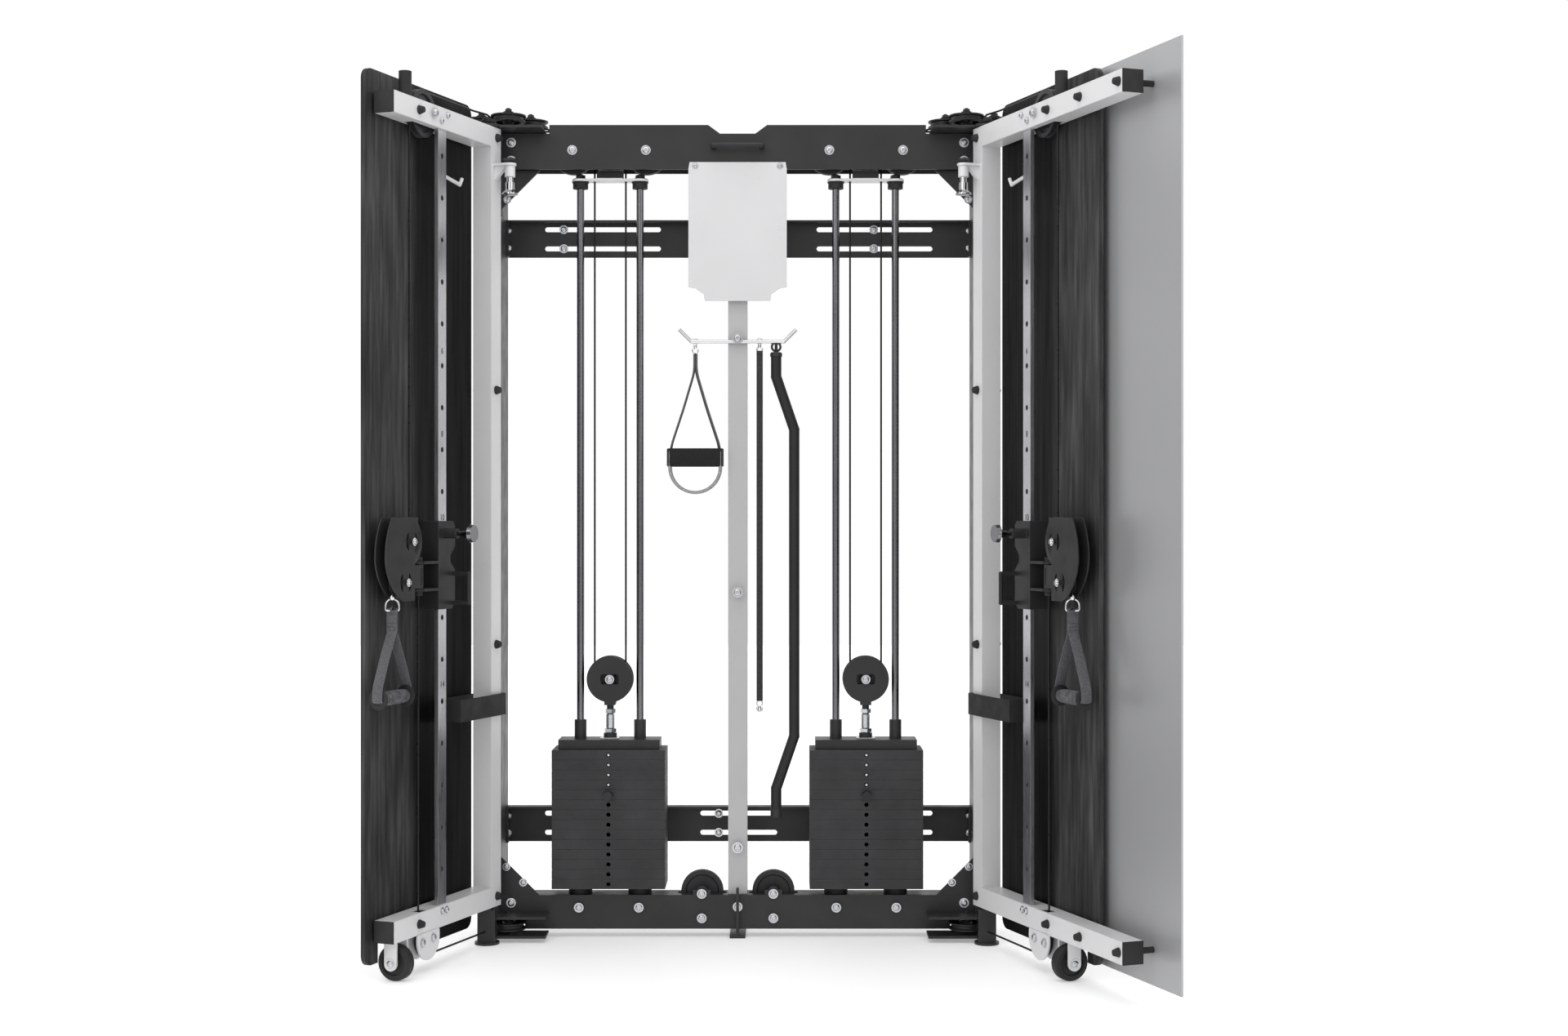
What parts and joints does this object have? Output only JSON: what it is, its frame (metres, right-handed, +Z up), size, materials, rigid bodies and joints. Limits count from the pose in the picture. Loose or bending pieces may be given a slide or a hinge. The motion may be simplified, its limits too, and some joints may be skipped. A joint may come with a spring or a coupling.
{
  "type": "functional trainer",
  "caption": "Wall-standing functional trainer: two weight stacks in a slim frame, with two folding cable columns, a mirror and hand grips.",
  "frame": {"origin": "on the floor and on the wall plane, in the middle between the two wing hinges", "axes": "+X to the right seen from the front, +Y towards the wall, +Z up"},
  "size_m": [1.8182, 0.9782, 2.106],
  "materials": {
    "black_steel": "satin",
    "light_paint": "satin",
    "chrome": "polished",
    "zinc": "satin",
    "iron": "satin",
    "black_plastic": "matte",
    "rubber": "matte",
    "wood": "satin",
    "mirror_glass": "polished",
    "webbing": "matte",
    "cable": "satin"
  },
  "bodies": {
    "root": {"top_beam": "black_steel", "bottom_beam": "black_steel", "frame_uprights": "black_steel", "crossmembers": "black_steel", "centre_post": "light_paint", "storage_bar": "chrome", "placard": "light_paint", "grab_handle": "black_steel", "guide_rods": "zinc", "rod_top_plates": "light_paint", "stack_bumpers": "rubber", "hinge_brackets": "black_steel", "frame_bolts": "zinc", "base_plates": "iron", "frame_cables": "cable", "frame_pulleys": "black_plastic", "foot_stirrup": "webbing", "extension_strap": "webbing", "curl_bar": "black_steel"},
    "wing_l": {"wing_frame_l": "light_paint", "wing_trim_l": "rubber", "wood_panel_l": "wood", "track_l": "chrome", "wing_pulleys_l": "black_plastic", "wing_cable_l": "cable"},
    "caster_l": {"caster_wheel_l": "rubber"},
    "lock_l": {"lock_plunger_l": "chrome"},
    "carriage_body_l": {"carriage_l": "black_steel"},
    "pin_l": {"pop_pin_l": "chrome"},
    "swivel_body_l": {"swivel_l": "black_steel"},
    "upper_l": {"upper_pulley_l": "black_plastic"},
    "lower_l": {"lower_pulley_l": "black_plastic"},
    "grip_l": {"handle_l": "rubber", "handle_strap_l": "webbing"},
    "lift_l": {"lift_plates_l": "iron", "stack_head_l": "black_steel", "lift_cables_l": "cable"},
    "selector_l": {"selector_pin_l": "black_plastic"},
    "float_l": {"float_pulley_l": "black_plastic"},
    "wing_r": {"wing_frame_r": "light_paint", "wing_trim_r": "rubber", "wood_panel_r": "wood", "track_r": "chrome", "wing_pulleys_r": "black_plastic", "wing_cable_r": "cable", "mirror": "mirror_glass"},
    "caster_r": {"caster_wheel_r": "rubber"},
    "lock_r": {"lock_plunger_r": "chrome"},
    "carriage_body_r": {"carriage_r": "black_steel"},
    "pin_r": {"pop_pin_r": "chrome"},
    "swivel_body_r": {"swivel_r": "black_steel"},
    "upper_r": {"upper_pulley_r": "black_plastic"},
    "lower_r": {"lower_pulley_r": "black_plastic"},
    "grip_r": {"handle_r": "rubber", "handle_strap_r": "webbing"},
    "lift_r": {"lift_plates_r": "iron", "stack_head_r": "black_steel", "lift_cables_r": "cable"},
    "selector_r": {"selector_pin_r": "black_plastic"},
    "float_r": {"float_pulley_r": "black_plastic"}
  },
  "joints": [
    {"name": "wing_l_fold", "type": "hinge", "parent": "root", "child": "wing_l", "pos_m": [-0.626, -0.215, 1], "axis": [0, 0, 1], "range_deg": [0, 110]},
    {"name": "caster_l_spin", "type": "hinge", "parent": "wing_l", "child": "caster_l", "pos_m": [-0.77649, -0.62847, 0.042], "axis": [-0.342, -0.9397, 0], "continuous": true},
    {"name": "lock_l_pull", "type": "slide", "parent": "wing_l", "child": "lock_l", "axis": [0, 0, 1], "range_m": [0, 0.012]},
    {"name": "carriage_l_slide", "type": "slide", "parent": "wing_l", "child": "carriage_body_l", "axis": [0, 0, 1], "range_m": [-0.4, 0.7]},
    {"name": "pin_l_pull", "type": "slide", "parent": "carriage_body_l", "child": "pin_l", "axis": [-0.9397, 0.342, 0], "range_m": [0, 0.012]},
    {"name": "swivel_l_turn", "type": "hinge", "parent": "carriage_body_l", "child": "swivel_body_l", "pos_m": [-0.73905, -0.55483, 1], "axis": [0, 0, -1], "range_deg": [-85, 5]},
    {"name": "upper_l_spin", "type": "hinge", "parent": "swivel_body_l", "child": "upper_l", "pos_m": [-0.75745, -0.60539, 1.012], "axis": [0.9397, -0.342, 0], "continuous": true},
    {"name": "lower_l_spin", "type": "hinge", "parent": "swivel_body_l", "child": "lower_l", "pos_m": [-0.76641, -0.63001, 0.918], "axis": [0.9397, -0.342, 0], "continuous": true},
    {"name": "grip_l_pull", "type": "slide", "parent": "swivel_body_l", "child": "grip_l", "axis": [0, 0, -1], "range_m": [0, 0.44]},
    {"name": "stack_l_lift", "type": "slide", "parent": "root", "child": "lift_l", "axis": [0, 0, 1], "range_m": [0, 0.22], "deforming": ["lift_cables_l"]},
    {"name": "float_l_spin", "type": "hinge", "parent": "lift_l", "child": "float_l", "pos_m": [-0.327, -0.098, 0.655], "axis": [0, 1, 0], "continuous": true},
    {"name": "selector_l_pull", "type": "slide", "parent": "lift_l", "child": "selector_l", "axis": [0, 1, 0], "range_m": [-0.08, 0]},
    {"name": "wing_r_fold", "type": "hinge", "parent": "root", "child": "wing_r", "pos_m": [0.626, -0.215, 1], "axis": [0, 0, -1], "range_deg": [0, 110]},
    {"name": "caster_r_spin", "type": "hinge", "parent": "wing_r", "child": "caster_r", "pos_m": [0.77649, -0.62847, 0.042], "axis": [0.342, -0.9397, 0], "continuous": true},
    {"name": "lock_r_pull", "type": "slide", "parent": "wing_r", "child": "lock_r", "axis": [0, 0, 1], "range_m": [0, 0.012]},
    {"name": "carriage_r_slide", "type": "slide", "parent": "wing_r", "child": "carriage_body_r", "axis": [0, 0, 1], "range_m": [-0.4, 0.7]},
    {"name": "pin_r_pull", "type": "slide", "parent": "carriage_body_r", "child": "pin_r", "axis": [0.9397, 0.342, 0], "range_m": [0, 0.012]},
    {"name": "swivel_r_turn", "type": "hinge", "parent": "carriage_body_r", "child": "swivel_body_r", "pos_m": [0.73905, -0.55483, 1], "axis": [0, 0, 1], "range_deg": [-85, 5]},
    {"name": "upper_r_spin", "type": "hinge", "parent": "swivel_body_r", "child": "upper_r", "pos_m": [0.75745, -0.60539, 1.012], "axis": [0.9397, 0.342, 0], "continuous": true},
    {"name": "lower_r_spin", "type": "hinge", "parent": "swivel_body_r", "child": "lower_r", "pos_m": [0.76641, -0.63001, 0.918], "axis": [0.9397, 0.342, 0], "continuous": true},
    {"name": "grip_r_pull", "type": "slide", "parent": "swivel_body_r", "child": "grip_r", "axis": [0, 0, -1], "range_m": [0, 0.44]},
    {"name": "stack_r_lift", "type": "slide", "parent": "root", "child": "lift_r", "axis": [0, 0, 1], "range_m": [0, 0.22], "deforming": ["lift_cables_r"]},
    {"name": "float_r_spin", "type": "hinge", "parent": "lift_r", "child": "float_r", "pos_m": [0.327, -0.098, 0.655], "axis": [0, 1, 0], "continuous": true},
    {"name": "selector_r_pull", "type": "slide", "parent": "lift_r", "child": "selector_r", "axis": [0, 1, 0], "range_m": [-0.08, 0]}
  ],
  "couplings": [
    {"joint": "grip_l_pull", "follows": "stack_l_lift", "ratio": 2},
    {"joint": "upper_l_spin", "follows": "stack_l_lift", "rad_per_m": 37.17},
    {"joint": "lower_l_spin", "follows": "stack_l_lift", "rad_per_m": 57.47},
    {"joint": "float_l_spin", "follows": "stack_l_lift", "rad_per_m": 25.13},
    {"joint": "grip_r_pull", "follows": "stack_r_lift", "ratio": 2},
    {"joint": "upper_r_spin", "follows": "stack_r_lift", "rad_per_m": 37.17},
    {"joint": "lower_r_spin", "follows": "stack_r_lift", "rad_per_m": 57.47},
    {"joint": "float_r_spin", "follows": "stack_r_lift", "rad_per_m": -25.13}
  ]
}
